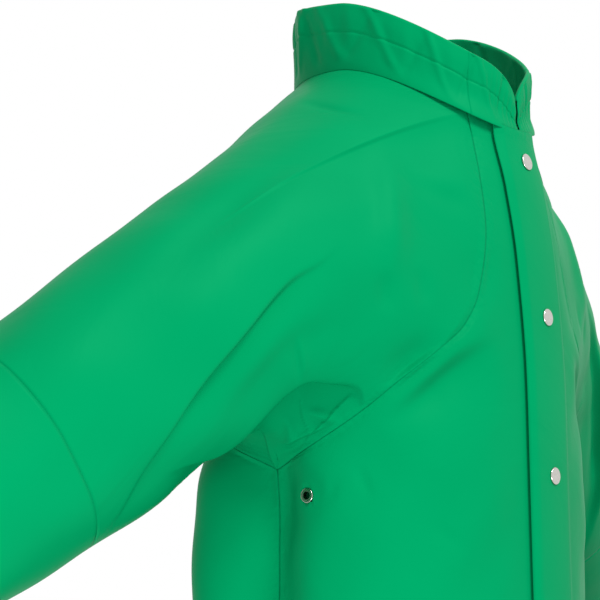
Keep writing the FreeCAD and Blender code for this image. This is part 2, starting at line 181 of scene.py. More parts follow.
def sleeve_tube(w, s):
    along, up, back = arm_axes()
    high, deep = profile(SLEEVE_HIGH, s)[..., None], profile(SLEEVE_DEEP, s)[..., None]
    turn = 2 * pi * w[..., None]
    return (SHOULDER + along * s[..., None] - up * high * np.cos(turn) - back * deep * np.sin(turn))


def raglan(w):
    """Top edge of the sleeve and the way the cloth leaves it."""
    front, back = w <= NECK_START, w >= NECK_STOP
    t = np.where(front, w / NECK_START, np.where(back, (1 - w) / (1 - NECK_STOP),
                 (w - NECK_START) / (NECK_STOP - NECK_START)))
    t = np.clip(t, 0, 1)
    z = np.where(front, lerp(ARMPIT_Z, FRONT_NECK_Z, t ** 1.25), lerp(ARMPIT_Z, BACK_NECK_Z, t ** 1.25))
    a = np.where(front, profile(FRONT_SEAM, z), profile(BACK_SEAM, z))
    seam = torso(a, z)
    way = np.where(front, 1.0, -1.0)[..., None] * (torso(a + 1, z) - torso(a - 1, z))
    arc = lerp(FRONT_NECK_ANGLE, BACK_NECK_ANGLE, t)
    turn = np.radians(lerp(120, 62, t))
    on_seam = (front | back)[..., None]
    point = np.where(on_seam, seam, neck(arc))
    over = points(-np.sin(turn), -np.cos(turn), -SHOULDER_SLOPE * np.sin(pi * t))
    way = unit(np.where(on_seam, way, over))
    chord = unit(sleeve_tube(w, np.full_like(w, HEAD_END)) - point)
    return point, unit(lerp(chord, way, WAY_FROM_SEAM))


def sleeve_head(w, v):
    start, way = raglan(w)
    end = sleeve_tube(w, np.full_like(w, HEAD_END))
    reach = np.linalg.norm(end - start, axis=-1, keepdims=True) * 0.9
    v = v[..., None]
    along = arm_axes()[0]
    return (start * (2 * v ** 3 - 3 * v ** 2 + 1) + way * reach * (v ** 3 - 2 * v ** 2 + v)
            + end * (3 * v ** 2 - 2 * v ** 3) + along * reach * (v ** 3 - v ** 2))


def front_edge(z, past):
    """Angle of a front edge that lies past the centre line, negative beyond it."""
    return -np.degrees(np.arcsin(past / profile(WIDTH, z)))


# ---- folds: how far the cloth stands out from the cut's plain surface --------------------------------
# path on the right half in millimetres; then how far the cloth stands out on the path's left and over
# what width, the same on its right, and how sharp the change is
FOLDS = [
    # main crease, from the front of the shoulder down to the sleeve's lower edge
    ([(-181, -70, -156), (-208, -63, -178), (-235, -53, -196), (-270, -39, -236), (-302, -22, -279),
      (-322, -8, -312), (-335, 7, -343), (-343, 26, -374), (-350, 50, -398)], -9.5, 22, 3.0, 26, 2.0),
    # ridge in front of the armhole, with two short dents beside it
    ([(-128, -59, -64), (-128, -72, -97), (-138, -83, -135), (-146, -88, -171), (-148, -89, -206)],
     5.5, 15, 5.5, 15, 3),
    ([(-152, -84, -176), (-154, -86, -196), (-152, -86, -216)], -1.8, 8, -1.8, 8, 3),
    ([(-125, -99, -172), (-122, -101, -190), (-121, -101, -210)], -1.7, 9, -1.7, 9, 3),
    # crease from the front of the collar along the top of the sleeve
    ([(-120, -63, -61), (-154, -48, -74), (-189, -35, -92), (-225, -23, -113), (-281, -8, -153),
      (-346, 12, -211)], -3.4, 15, -3.4, 15, 4),
    # short crease below the back of the collar
    ([(-136, 12, -33), (-138, -25, -43), (-120, -56, -53)], -1.8, 5, -1.8, 5, 2),
    # hollow under the main crease
    ([(-184, -73, -214), (-209, -60, -231), (-231, -49, -247), (-257, -30, -284), (-277, -12, -316)],
     -4.2, 14, -4.2, 14, 6),
    # pull above the raglan seam, towards the armpit
    ([(-99, -112, -224), (-117, -102, -238), (-131, -92, -251), (-148, -75, -275)], -4.0, 12, -4.0, 12, 5),
    # dimple beside the main crease
    ([(-226, -54, -233), (-217, -49, -252), (-208, -43, -270)], 1.2, 6, -1.4, 6, 2),
    # the armpit's hollow: a sharp rim with a deep pocket inside, and its wrinkles
    ([(-151, -67, -302), (-155, -66, -285), (-163, -64, -272), (-184, -53, -271), (-205, -42, -272),
      (-230, -22, -300), (-253, 0, -327), (-285, 3, -338), (-310, 8, -346)], -17, 30, 2.0, 14, 1.2),
    ([(-186, -31, -292), (-174, -40, -295), (-162, -49, -298)], 3.2, 3.5, 3.2, 3.5, 2),
    ([(-171, 10, -321), (-166, -20, -312), (-160, -46, -303)], -3.4, 4, -3.4, 4, 2),
    ([(-180, 2, -318), (-172, -26, -306), (-163, -52, -298)], 2.6, 3.5, -1.0, 3.5, 1.5),
    ([(-196, -24, -300), (-184, -16, -312), (-176, -4, -320)], 2.4, 4, 2.4, 4, 2),
    # sunken band on the front panel along the raglan seam
    ([(-57, -129, -223), (-94, -116, -245), (-117, -102, -266), (-135, -86, -286), (-148, -72, -302)],
     -11.0, 26, 1.5, 10, 7),
    # fold from the vent down to the side seam
    ([(-168, -21, -366), (-164, -7, -393), (-161, 2, -427), (-161, 8, -470)], 0.8, 16, 0.8, 6, 2),
    # puckers at the armpit's corner and on the front panel
    ([(-161, -50, -339), (-167, -34, -366)], -1.2, 4, -1.2, 4, 2),
    ([(-157, -58, -329), (-148, -72, -358)], -1.3, 4, -1.3, 4, 2),
    ([(-120, -102, -374), (-90, -121, -397)], -1.2, 5, -1.2, 5, 2),
    # slack along the side seam
    ([(-162, 5, -345), (-161, 7, -403), (-162, 2, -440)], -0.8, 12, -1.4, 12, 4),
    # slack across the chest, from the neck to the armhole
    ([(-53, -118, -128), (-90, -98, -112), (-128, -72, -98)], -1.4, 10, -1.4, 10, 4),
]
FOLD_REACH = 260.0                            # no fold acts further than this from its path's middle
EYELET, EYELET_FLAT, EYELET_HOLE = torso(np.array(81.0), np.array(-353.5)), (8, 22), 4.7
CLOSURE = 45.0                                # the fronts lie flat this far from the centre line
DRAPE = 7.0                                   # depth of the soft folds at the hem
rng = np.random.default_rng(7)
# slow unevenness of handled cloth: direction, length, phase and height of each wave
WAVES = [(unit(rng.normal(size=3)), rng.uniform(45, 150), rng.uniform(0, 6.28), rng.uniform(0.25, 0.6))
         for _ in range(9)]


def smooth_path(path, count=7):
    """The path rounded through its points."""
    p = np.array(path, float)
    p = np.concatenate([[2 * p[0] - p[1]], p, [2 * p[-1] - p[-2]]])
    t = np.linspace(0, 1, count, endpoint=False)[:, None]
    parts = [0.5 * (2 * b + (c - a) * t + (2 * a - 5 * b + 4 * c - d) * t ** 2
                    + (3 * b - a - 3 * c + d) * t ** 3) for a, b, c, d in zip(p, p[1:], p[2:], p[3:])]
    return np.concatenate(parts + [p[-2:-1]])


def beside(p, n, path):
    """Distance to the left (+) or right (-) of a path seen from outside, and the share along it."""
    lengths = np.linalg.norm(np.diff(path, axis=0), axis=1)
    starts = np.concatenate([[0], np.cumsum(lengths)])
    best, side, share = np.full(len(p), 1e9), np.zeros(len(p)), np.zeros(len(p))
    for i, length in enumerate(lengths):
        way = (path[i + 1] - path[i]) / length
        t = np.clip((p - path[i]) @ way, 0, length)
        away = p - path[i] - t[:, None] * way
        off = np.einsum("ij,ij->i", away, n)
        away = away - off[:, None] * n
        d = np.linalg.norm(away, axis=1) + 2 * np.maximum(0, np.abs(off) - 25)
        near = d < best
        best = np.where(near, d, best)
        side = np.where(near, np.sign(np.einsum("ij,ij->i", away, np.cross(n, way))), side)
        share = np.where(near, (starts[i] + t) / starts[-1], share)
    return best * side, share


def relief(p, n, strength=1.0):
    """Height of the folds at points p with outward normals n, the same on both halves."""
    over = np.where(p.reshape(-1, 3)[:, 0] > 0, -1.0, 1.0)
    flip = np.stack([over, np.ones_like(over), np.ones_like(over)], -1)
    q, m = p.reshape(-1, 3) * flip, n.reshape(-1, 3) * flip
    total = np.zeros(len(q))
    for path, left, left_width, right, right_width, edge in FOLDS:
        line = smooth_path(path)
        close = np.linalg.norm(q - line[len(line) // 2], axis=1) < FOLD_REACH
        x, share = beside(q[close], m[close], line)
        on_left = 0.5 * (1 + np.tanh(x / edge))
        taper = min(0.45, 30 / len(line) ** 0.9)
        ends = smooth(share, 0, taper) * smooth(1 - share, 0, taper)
        total[close] += ends * (left * on_left * bump(x, 0, left_width)
                                + right * (1 - on_left) * bump(x, 0, right_width))
    for way, length, phase, height in WAVES:
        total += height * np.sin(2 * pi * (p.reshape(-1, 3) @ way) / length + phase)
    turn = np.arctan2(p.reshape(-1, 3)[:, 0], -p.reshape(-1, 3)[:, 1])
    fall = smooth(-q[:, 2], 430, 1060) * (q[:, 0] > -240)
    flutes = np.cos(7 * turn + 1.3 + 0.8 * np.sin(2 * turn)) + 0.5 * np.cos(12 * turn + 0.4)
    total += DRAPE * fall * flutes
    flat = 1 - (1 - smooth(np.abs(q[:, 0]), CLOSURE - 5, CLOSURE + 30)) * (q[:, 1] < 0)
    flat = flat * smooth(np.linalg.norm(q - EYELET, axis=1), *EYELET_FLAT)
    return (strength * total * flat).reshape(p.shape[:-1])


# ---- meshes ---------------------------------------------------------------------------------------
def grid_normals(p):
    return unit(np.cross(np.gradient(p, axis=0), np.gradient(p, axis=1)))


def arc_lengths(p):
    """Distance from the first column and from the first row, for the cloth's pattern."""
    across = np.linalg.norm(np.diff(p, axis=1), axis=2)
    down = np.linalg.norm(np.diff(p, axis=0), axis=2)
    u = np.concatenate([np.zeros((p.shape[0], 1)), np.cumsum(across, 1)], 1)
    v = np.concatenate([np.zeros((1, p.shape[1])), np.cumsum(down, 0)], 0)
    return u, v


def seam_distance(p, edges):
    """Distance from the nearest of the piece's sewn edges, in metres, and along it."""
    u, v = arc_lengths(p)
    sides = {"first_column": (u, v), "last_column": (u[:, -1:] - u, v),
             "first_row": (v, u), "last_row": (v[-1:] - v, u)}
    best, along = np.full(p.shape[:2], 1e6), np.zeros(p.shape[:2])
    for edge in edges:
        d, run = sides[edge]
        along, best = np.where(d < best, run, along), np.minimum(d, best)
    return best * MM, along * MM


def mesh_of(name, verts, faces, uv, slots, materials, values=()):
    mesh = bpy.data.meshes.new(name)
    mesh.from_pydata((verts * MM + FROM_LOOP * MM).tolist(), [], faces.tolist())
    layer = mesh.uv_layers.new(name="cut")
    loops = np.zeros(len(mesh.loops), np.int32)
    mesh.loops.foreach_get("vertex_index", loops)
    layer.data.foreach_set("uv", uv[loops].ravel())
    for key, value in dict(values).items():
        mesh.attributes.new(key, "FLOAT", "POINT").data.foreach_set("value", value.astype(np.float32))
    for material in materials:
        mesh.materials.append(material)
    mesh.polygons.foreach_set("material_index", slots)
    mesh.polygons.foreach_set("use_smooth", np.ones(len(faces), bool))
    mesh.update()
    obj = bpy.data.objects.new(name, mesh)
    bpy.context.scene.collection.objects.link(obj)
    return obj


def cloth_piece(name, base, material, lining, flip=False, depth=0.0, folds=1.0, sewn=(), holes=(),
                thickness=CLOTH):
    """One layer of cloth on a grid of points in millimetres, with its folds, its sewn edges tucked in,
    round holes of (centre, radius), and its arc lengths as its UV map. The folds die out at the raglan
    seams, so that the two cloths sewn there meet, and run across the side seams."""
    rows, cols = base.shape[:2]
    n = grid_normals(base) * (-1 if flip else 1)
    from_seam, along_seam = seam_distance(base, sewn)
    tuck = SEAM_TUCK * bump(from_seam / MM, 0, TUCK_WIDTH)
    height = 0.0
    if folds:
        high_up = smooth(base[..., 2] - ARMPIT_Z, -60, -10)
        height = relief(base, n, folds) * (1 - high_up * (1 - smooth(from_seam / MM, 0, SEAM_GRIP)))
    p = base + n * (height - tuck - depth)[..., None] if sewn or folds else base - n * depth
    n = grid_normals(p) * (-1 if flip else 1)
    verts = np.concatenate([p.reshape(-1, 3), (p - n * thickness).reshape(-1, 3)])
    count = rows * cols
    index = np.arange(count).reshape(rows, cols)
    quads = np.stack([index[:-1, :-1], index[:-1, 1:], index[1:, 1:], index[1:, :-1]], -1).reshape(-1, 4)
    middle = p.reshape(-1, 3)[quads].mean(axis=1)
    for centre, radius in holes:
        quads, middle = [part[np.linalg.norm(middle - centre, axis=1) > radius] for part in (quads, middle)]
    if flip:
        quads = quads[:, ::-1]
    ends = np.roll(quads, -1, axis=1)
    codes = (quads * count + ends).ravel()
    border = ~np.isin(codes, (ends * count + quads).ravel())
    a, b = quads.ravel()[border], ends.ravel()[border]
    walls = np.stack([b, a, a + count, b + count], -1)
    faces = np.concatenate([quads, quads[:, ::-1] + count, walls])
    u, v = arc_lengths(base)
    uv = np.concatenate([np.stack([u, v], -1).reshape(-1, 2)] * 2) * MM
    slots = np.zeros(len(faces), np.int32)
    slots[len(quads):2 * len(quads)] = 1
    obj = mesh_of(name, verts, faces, uv, slots, (material, lining),
                  {"from_seam": np.tile(from_seam.ravel(), 2),
                   "along_seam": np.tile(along_seam.ravel(), 2)})
    return obj


def stitches(name, line, normal, pitch=3.0, length=2.0, thick=0.42):
    """A row of sewn stitches: short rounded threads that dip into the cloth at both ends."""
    run = np.concatenate([[0], np.cumsum(np.linalg.norm(np.diff(line, axis=0), axis=1))])
    at = np.arange(pitch, run[-1] - pitch, pitch)
    place = np.stack([np.interp(at, run, line[:, k]) for k in range(3)], -1)
    ahead = np.stack([np.interp(at + 0.5, run, line[:, k]) for k in range(3)], -1)
    up = unit(np.stack([np.interp(at, run, normal[:, k]) for k in range(3)], -1))
    way = unit(ahead - place)
    across = np.cross(up, way)
    rings, sides = (-0.5, -0.3, 0.0, 0.3, 0.5), 6
    shape = []
    for x in rings:
        size = thick * (1.0 if abs(x) < 0.4 else 0.5)
        for k in range(sides):
            turn = 2 * pi * k / sides
            rise = size * sin(turn) + thick * 0.5 - (thick if abs(x) > 0.4 else 0)
            shape.append((x * length, size * cos(turn), rise))
    shape = np.array(shape)
    verts = (place[:, None] + way[:, None] * shape[None, :, :1] + across[:, None] * shape[None, :, 1:2]
             + up[:, None] * shape[None, :, 2:]).reshape(-1, 3)
    one = [(r * sides + k, r * sides + (k + 1) % sides,
            (r + 1) * sides + (k + 1) % sides, (r + 1) * sides + k)
           for r in range(len(rings) - 1) for k in range(sides)]
    faces = (np.array(one)[None] + (np.arange(len(at)) * len(shape))[:, None, None]).reshape(-1, 4)
    uv = np.zeros((len(verts), 2))
    obj = mesh_of(name, verts, faces, uv, np.zeros(len(faces), np.int32), (thread,))
    return obj


# ---- colours and materials ------------------------------------------------------------------------
def linear(hex_colour):
    """sRGB hex value as linear RGBA."""
    values = [int(hex_colour[i:i + 2], 16) / 255 for i in (0, 2, 4)]
    return tuple(c / 12.92 if c <= 0.04045 else ((c + 0.055) / 1.055) ** 2.4 for c in values) + (1.0,)


def add(material, kind, inputs=(), **settings):
    """A node with its settings and its inputs, each a value or another node's output."""
    node = material.node_tree.nodes.new(kind)
    for key, value in settings.items():
        setattr(node, key, value)
    for key, value in dict(inputs).items():
        if isinstance(value, bpy.types.NodeSocket):
            material.node_tree.links.new(value, node.inputs[key])
        else:
            node.inputs[key].default_value = value
    return node


def new_material(name):
    material = bpy.data.materials.new(name)
    material.use_nodes = True
    material.node_tree.nodes.clear()
    return material


def finish_material(material, shader):
    add(material, "ShaderNodeOutputMaterial", {"Surface": shader.outputs["BSDF"]})
    return material


def coated_knit(name, shade, mottle, roughness, gloss):
    """Polyurethane skin on a polyester knit, calendered smooth: semi-matt and deep green, with the
    knit's fine grain under the skin, slow changes of shade from handling, and at the sewn edges a
    painted shade line, a darkening that stands for the shadow in the seam's groove, beside the small
    puckers that the thread pulls in. Polyurethane's index is about 1.5; the matt face shows less
    sheen at its edges than that gives, so it is set lower."""
    m = new_material(name)
    cut = add(m, "ShaderNodeTexCoord").outputs["UV"]
    broad = add(m, "ShaderNodeTexNoise", {"Vector": cut, "Scale": 7.0, "Detail": 3.0})
    colour = add(m, "ShaderNodeMix", {"Factor": broad.outputs["Fac"], 6: linear(shade),
                                      7: linear(mottle)}, data_type="RGBA")
    seam = add(m, "ShaderNodeAttribute", attribute_name="from_seam").outputs["Fac"]
    along = add(m, "ShaderNodeAttribute", attribute_name="along_seam").outputs["Fac"]
    # painted shade: within about a millimetre of a sewn edge the colour mixes up to 22% towards dark green
    # 00301C, standing for the shadow in the seam's groove
    line = add(m, "ShaderNodeMapRange", {"Value": seam, "From Min": 0.0002, "From Max": 0.0012,
                                         "To Min": 0.22, "To Max": 0.0})
    sewn = add(m, "ShaderNodeMix", {"Factor": line.outputs["Result"], 6: colour.outputs[2],
                                    7: linear("00301C")}, data_type="RGBA")
    beside_seam = add(m, "ShaderNodeCombineXYZ", {"X": along, "Y": seam})
    pull = add(m, "ShaderNodeTexNoise", {"Vector": beside_seam.outputs["Vector"], "Scale": 1 / 0.006,
                                         "Detail": 1.0})
    fade = add(m, "ShaderNodeMapRange", {"Value": seam, "From Min": 0.0, "From Max": 0.018,
                                         "To Min": 1.0, "To Max": 0.0})
    pucker = add(m, "ShaderNodeMath", {0: pull.outputs["Fac"], 1: fade.outputs["Result"]},
                 operation="MULTIPLY")
    grain = add(m, "ShaderNodeTexNoise", {"Vector": cut, "Scale": 1 / 0.0012, "Detail": 2.0})
    creases = add(m, "ShaderNodeTexNoise", {"Vector": cut, "Scale": 1 / 0.045, "Detail": 3.0,
                                            "Roughness": 0.45, "Distortion": 0.8})
    face = add(m, "ShaderNodeBump", {"Height": grain.outputs["Fac"], "Strength": 0.08,
                                     "Distance": 0.0003})
    soft = add(m, "ShaderNodeBump", {"Height": creases.outputs["Fac"], "Strength": 0.22,
                                     "Distance": 0.003, "Normal": face.outputs["Normal"]})
    drawn = add(m, "ShaderNodeBump", {"Height": pucker.outputs[0], "Strength": 0.5,
                                      "Distance": 0.002, "Normal": soft.outputs["Normal"]})
    worn = add(m, "ShaderNodeMapRange", {"Value": broad.outputs["Fac"], "To Min": roughness - 0.04,
                                         "To Max": roughness + 0.05})
    shader = add(m, "ShaderNodeBsdfPrincipled", {
        "Base Color": sewn.outputs[2], "Roughness": worn.outputs["Result"],
        "Normal": drawn.outputs["Normal"], "IOR": 1.3, "Specular IOR Level": gloss,
        "Specular Tint": linear("20FFB0")})
    return finish_material(m, shader)


def woven_tape(name, shade):
    """Narrow woven polyester tape: fine ribs across it and a satin yarn."""
    m = new_material(name)
    cut = add(m, "ShaderNodeTexCoord").outputs["UV"]
    ribs = add(m, "ShaderNodeTexWave", {"Vector": cut, "Scale": 1 / 0.0028, "Distortion": 0.6,
                                        "Detail": 1.0})
    yarn = add(m, "ShaderNodeTexNoise", {"Vector": cut, "Scale": 1 / 0.0009, "Detail": 2.0})
    colour = add(m, "ShaderNodeMix", {"Factor": ribs.outputs["Fac"], 6: linear("005E38"),
                                      7: linear(shade)}, data_type="RGBA")
    high = add(m, "ShaderNodeMath", {0: ribs.outputs["Fac"], 1: yarn.outputs["Fac"]}, operation="ADD")
    raised = add(m, "ShaderNodeBump", {"Height": high.outputs[0], "Strength": 0.4, "Distance": 0.0004})
    shader = add(m, "ShaderNodeBsdfPrincipled", {
        "Base Color": colour.outputs[2], "Roughness": 0.6, "Normal": raised.outputs["Normal"],
        "Sheen Weight": 0.15, "Specular IOR Level": 0.3})
    return finish_material(m, shader)


def nickel_plate():
    """Bright nickel on pressed brass, with the faint turning marks and dulling of a small fitting."""
    m = new_material("nickel_plate")
    place = add(m, "ShaderNodeTexCoord").outputs["Object"]
    marks = add(m, "ShaderNodeTexNoise", {"Vector": place, "Scale": 900.0, "Detail": 2.0})
    dull = add(m, "ShaderNodeMapRange", {"Value": marks.outputs["Fac"], "To Min": 0.1, "To Max": 0.22})
    colour = add(m, "ShaderNodeMix", {"Factor": marks.outputs["Fac"], 6: linear("D6D4CE"),
                                      7: linear("B9B6AE")}, data_type="RGBA")
    shader = add(m, "ShaderNodeBsdfPrincipled", {"Base Color": colour.outputs[2], "Metallic": 1.0,
                                                 "Roughness": dull.outputs["Result"]})
    return finish_material(m, shader)


def sewing_thread():
    """Spun polyester thread, a little darker than the cloth, with its twist."""
    m = new_material("sewing_thread")
    place = add(m, "ShaderNodeTexCoord").outputs["Object"]
    twist = add(m, "ShaderNodeTexNoise", {"Vector": place, "Scale": 2500.0, "Detail": 1.0})
    colour = add(m, "ShaderNodeMix", {"Factor": twist.outputs["Fac"], 6: linear("005535"),
                                      7: linear("006B44")}, data_type="RGBA")
    shader = add(m, "ShaderNodeBsdfPrincipled", {"Base Color": colour.outputs[2], "Roughness": 0.55,
                                                 "Specular IOR Level": 0.3})
    return finish_material(m, shader)


skin = coated_knit("polyurethane_coated_knit", "007A4A", "007445", 0.45, 0.08)
lining = coated_knit("polyester_knit_backing", "006E42", "00673D", 0.8, 0.08)
tape = woven_tape("woven_polyester_tape", "008A54")
nickel = nickel_plate()
thread = sewing_thread()


# ---- the grids of the pieces, right half ------------------------------------------------------------
EDGE_ROWS = [0.0, 0.004, 0.009, 0.015, 0.023]


def edge_graded(count):
    """Shares from 0 to 1, closer together beside the sewn edge at 0."""
    return np.concatenate([EDGE_ROWS, np.linspace(0.034, 1, count)])


def around_sleeve():
    """Shares round the sleeve, closer together on the front and underarm."""
    return np.concatenate([np.linspace(0.0005, 0.46, 180), np.linspace(0.46, 0.9995, 85)[1:]])


def upper_sleeve_grid():
    """From the raglan seams to where the elbow's bend starts."""
    ww, vv = np.meshgrid(around_sleeve(), edge_graded(118))
    head = sleeve_head(ww, vv)
    ww, ss = np.meshgrid(around_sleeve(), np.linspace(HEAD_END, UPPER_END, 62)[1:])
    return np.concatenate([head, sleeve_tube(ww, ss)])


def lower_sleeve_grid(start, stop, rows):
    ww, ss = np.meshgrid(np.linspace(0.0005, 0.9995, 150), np.linspace(start, stop, rows))
    return sleeve_tube(ww, ss)


def mirrored(p):
    return p * np.array((-1.0, 1.0, 1.0))


def raised(p):
    """Where the left front passes over the right one."""
    p = p.copy()
    p[..., 1] -= LIFT * (1 - smooth(np.abs(p[..., 0]), LIFT_START, LIFT_END))
    return p


def body_grid(heights, first, last, columns, crosswise=None):
    """Grid on the body between two angles for each height."""
    t = np.linspace(0, 1, columns) if crosswise is None else crosswise
    first, last = np.broadcast_to(first, heights.shape), np.broadcast_to(last, heights.shape)
    angles = lerp(first[:, None], last[:, None], t[None, :])
    return torso(angles, np.broadcast_to(heights[:, None], angles.shape))


def front_panel_grid(past, upper_rows, lower_rows, columns):
    """From the raglan and side seams (first column) to the front edge; the top row is the neckline."""
    heights = np.concatenate([np.linspace(-58, ARMPIT_Z, upper_rows),
                              np.linspace(ARMPIT_Z, HEM_Z, lower_rows)[1:]])
    t = edge_graded(columns)
    body = body_grid(heights, profile(FRONT_SEAM, heights), front_edge(heights, past), 0, t)
    top = neck(lerp(FRONT_NECK_ANGLE, float(front_edge(-NECK_FRONT_DROP, past)), t))
    return np.concatenate([[lerp(top, body[0], k) for k in (0.0, 0.05, 0.12, 0.25, 0.45, 0.72)], body])


def side_graded(columns):
    """Shares from 0 to 1 across the back, closer together at both sides."""
    t = np.linspace(0, 1, columns)
    return t - 0.095 * np.sin(2 * pi * t)


def back_panel_grid(columns=170):
    heights = np.concatenate([np.linspace(-24, ARMPIT_Z, 100), np.linspace(ARMPIT_Z, HEM_Z, 150)[1:]])
    t = side_graded(columns)
    first = profile(BACK_SEAM, heights)
    body = body_grid(heights, first, 360 - first, 0, t)
    top = neck(lerp(BACK_NECK_ANGLE, 360 - BACK_NECK_ANGLE, t))
    return np.concatenate([[lerp(top, body[0], k) for k in (0.0, 0.06, 0.15, 0.35, 0.66)], body])


def collar_height(angle):
    end = np.maximum(0, 1 - angle / 24.0)
    side = np.where(angle > 90, lerp(COLLAR_SIDE, COLLAR_BACK, (angle - 90) / 90),
                    lerp(COLLAR_FRONT, COLLAR_SIDE, angle / 90))
    return side * (0.35 + 0.65 * np.sqrt(1 - end * end)) + 3.0 * bump(angle, 124, 16)


def collar_line(angle, height, outward):
    """Points on the collar at a height above the neckline and a distance outward. At the front its
    sewn edge hangs a little over the panel, so that it casts a shadow there."""
    base = neck(angle)
    away = unit(base * (1, 1, 0))
    share = height / collar_height(angle)
    lean = 1 + 0.02 * share * bump(angle, 60, 60)
    hang = (0.3 + 5.2 * bump(angle, 22, 32)) * bump(share, 0, 0.18)
    p = base * points(lean, lean, np.ones_like(lean)) + away * (outward + hang)[..., None]
    p[..., 2] += height - (0.7 + 2.8 * bump(angle, 22, 34)) * bump(share, 0, 0.16)
    return p


# where each crease crosses the collar, how far it slants over the height, its width and its depth
COLLAR_CREASES = [(136, 8, 2.2, -2.0), (121, -10, 2.5, 1.7), (111, 14, 3.0, -1.9), (96, 18, 3.5, 1.4),
                  (82, -16, 2.6, -1.2), (70, 14, 2.4, 1.3), (57, -12, 2.2, -1.3), (46, 10, 2.0, 1.2),
                  (33, -10, 1.8, -1.3), (22, 8, 1.6, 1.2), (13, -6, 1.4, -1.1), (160, 10, 3.0, 1.4)]


def collar_ripple(angle, share, seam_share):
    """Puckers where the casing's stitching draws the collar in."""
    wave = np.sin(angle * 0.31 + 1.0) + 0.8 * np.sin(angle * 0.53 + 0.4) + 0.3 * np.sin(angle * 0.97)
    tight = 0.45 * np.sin(angle * 2.1 + 6 * share) * bump(angle, 8, 16)
    groove = -0.75 * bump(share, seam_share, 0.022)
    roll = 0.9 * bump(share, lerp(seam_share, 1, 0.55), 0.2)
    corner = 4.6 * np.clip(share, 0, 1) * bump(angle, 119, 8)
    above_seam = smooth(share, 0.05, 0.3)
    for middle, slant, width, height in COLLAR_CREASES:
        corner = corner + height * bump(angle, middle + slant * (share - 0.5), width) * above_seam
    return (wave * 0.35 + tight) * bump(share, seam_share + 0.05, 0.33) + groove + roll + corner


def collar_grid():
    """One strip folded at the rim: up the outside, over, and down the inside."""
    angle = np.linspace(1.0, 180, 300)
    up, down = np.linspace(0, 1, 64), np.linspace(1, 0.03, 24)
    rows = []
    height = collar_height(angle)
    seam_share = 1 - CASING / height
    roll = 1.3
    for share in up:
        rows.append(collar_line(angle, share * height * 0.985,
                                collar_ripple(angle, share, seam_share)))
    for turn in np.linspace(0, pi, 9)[1:-1]:
        rise = height * 0.985 + roll * sin(turn)
        rows.append(collar_line(angle, rise, roll * (cos(turn) - 1) + 0.2))
    for share in down:
        rows.append(collar_line(angle, share * height * 0.985, -2 * roll
                                + 0.6 * collar_ripple(angle, share, seam_share)))
    return np.array(rows)


def casing_line():
    angle = np.linspace(3, 180, 500)
    height = collar_height(angle)
    share = 1 - CASING / height
    p = collar_line(angle, share * height * 0.985, collar_ripple(angle, share, share))
    keep = share > 0.12
    return p[keep], unit(p * (1, 1, 0))[keep]


def follow(obj, side, way, *nodes):
    """obj is baked in place, or rides an empty for its place on the gown, and stands for these CAD nodes,
    which are hidden.
    """
    if way == "front":
        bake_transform(obj)
    elif way == "collar":
        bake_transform(obj)
    elif way == "shoulder":
        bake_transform(obj)
    elif way == "elbow":
        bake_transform(obj)
    else:
        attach(obj, way)
    if nodes:
        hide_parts(*nodes)
    return obj


# ---- the pieces --------------------------------------------------------------------------------------
def as_cut(p):
    return p


SIDES = {"right": (as_cut, False), "left": (mirrored, True)}
FRONTS = {"right": (UNDERLAP, as_cut), "left": (OVERLAP, raised)}
PANEL_COUNTS = {"right": (150, 150, 118), "left": (100, 120, 84)}    # finer on the side the camera sees
HEM_HEIGHTS = np.linspace(HEM_Z + HEM_DEPTH, HEM_Z + 0.5, 6)
BACK_HEM_COLUMNS = 170


def sleeve(side):
    """One raglan sleeve: its cloth to the elbow, its lower cloth and the cuff's turned hem."""
    place, turned = SIDES[side]
    arm = cloth_piece("sleeve_cloth_" + side, place(upper_sleeve_grid()), skin, lining, flip=not turned,
                      sewn=("first_row",))
    follow(arm, side, "shoulder", "sleeve_head_" + side, "sleeve_upper_" + side)
    forearm = cloth_piece("lower_sleeve_cloth_" + side, place(lower_sleeve_grid(UPPER_END, CUFF, 120)),
                          skin, lining, flip=not turned)
    follow(forearm, side, "elbow", "sleeve_elbow_" + side, "sleeve_forearm_" + side)
    cuff = cloth_piece("cuff_hem_cloth_" + side, place(lower_sleeve_grid(CUFF - HEM_DEPTH, CUFF - 0.5, 8)),
                       skin, lining, flip=not turned, depth=FACING_IN)
    follow(cuff, side, side + "_forearm", "cuff_hem_" + side)


def front(side):
    """One front: its panel with the vent's hole, the facing turned in at its edge and its hem band."""
    place, turned = SIDES[side]
    past, lift = FRONTS[side]
    body = "front_panel_cloth_" + side
    panel = cloth_piece(body, place(lift(front_panel_grid(past, *PANEL_COUNTS[side]))), skin, lining,
                        flip=turned, sewn=("first_column", "first_row"),
                        holes=[(place(EYELET), EYELET_HOLE)])
    follow(panel, side, "front", "front_panel_" + side)
    heights = np.concatenate([np.linspace(-60, ARMPIT_Z, 70), np.linspace(ARMPIT_Z, HEM_Z + 1, 90)[1:]])
    edge = lift(body_grid(heights, front_edge(heights, past - FACING_WIDTH),
                          front_edge(heights, past - 0.8), 30))
    facing = cloth_piece("front_facing_cloth_" + side, place(edge), lining, skin, flip=turned,
                         depth=FACING_IN)
    follow(facing, side, "front", "front_facing_" + side)
    foot = body_grid(HEM_HEIGHTS, SIDE_ANGLE - 2, front_edge(HEM_HEIGHTS, -LIFT_END) + 1, 90)
    band = cloth_piece("hem_band_cloth_" + side, place(foot), lining, skin, flip=turned, depth=HEM_IN)
    follow(band, side, "front", "hem_band_front_" + side)


